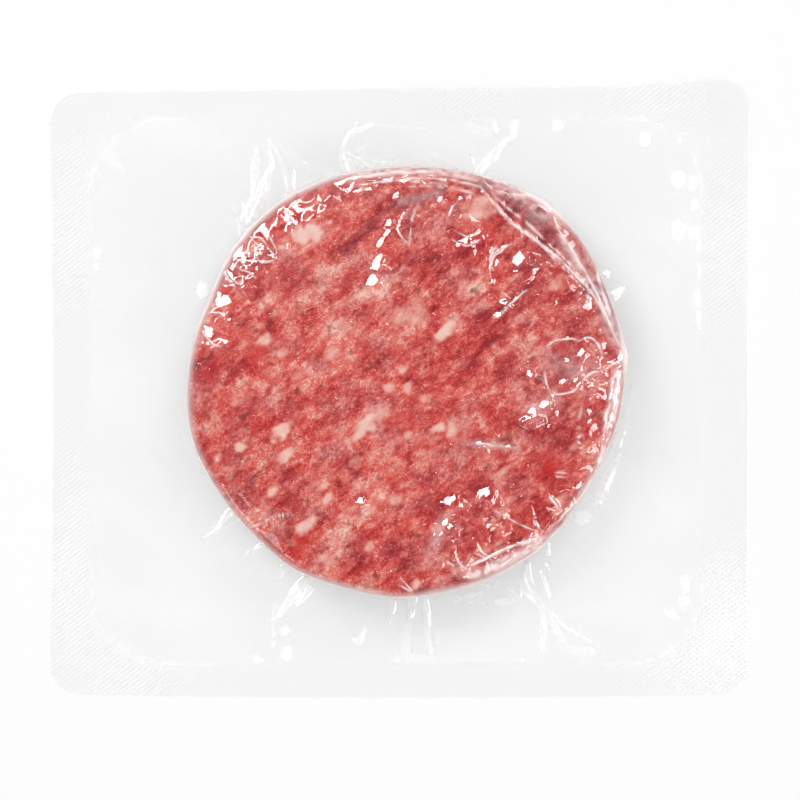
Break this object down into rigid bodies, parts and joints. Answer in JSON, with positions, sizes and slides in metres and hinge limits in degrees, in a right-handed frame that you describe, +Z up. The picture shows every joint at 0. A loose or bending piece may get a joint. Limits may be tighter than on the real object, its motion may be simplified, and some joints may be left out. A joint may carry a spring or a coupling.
{
  "type": "vacuum-packed raw beef patty",
  "caption": "Round raw ground-beef patty sealed in clear plastic: a flat base film, and a formed film drawn over the patty and sealed along a wide rounded-rectangular flange.",
  "frame": {"origin": "middle of the base film's flat underside, where the pack rests", "axes": "+X along the pack's longer side, +Y along its shorter side, +Z up from the base film to the formed film"},
  "size_m": [0.1769, 0.1565, 0.0192],
  "materials": {
    "clear_film": "clear glossy packaging film, slightly milky along the embossed seal",
    "raw_beef": "moist coarse-ground raw beef with pale fat flecks"
  },
  "bodies": {
    "root": {"base_film": "clear_film", "patty": "raw_beef", "formed_film": "clear_film"}
  },
  "joints": []
}
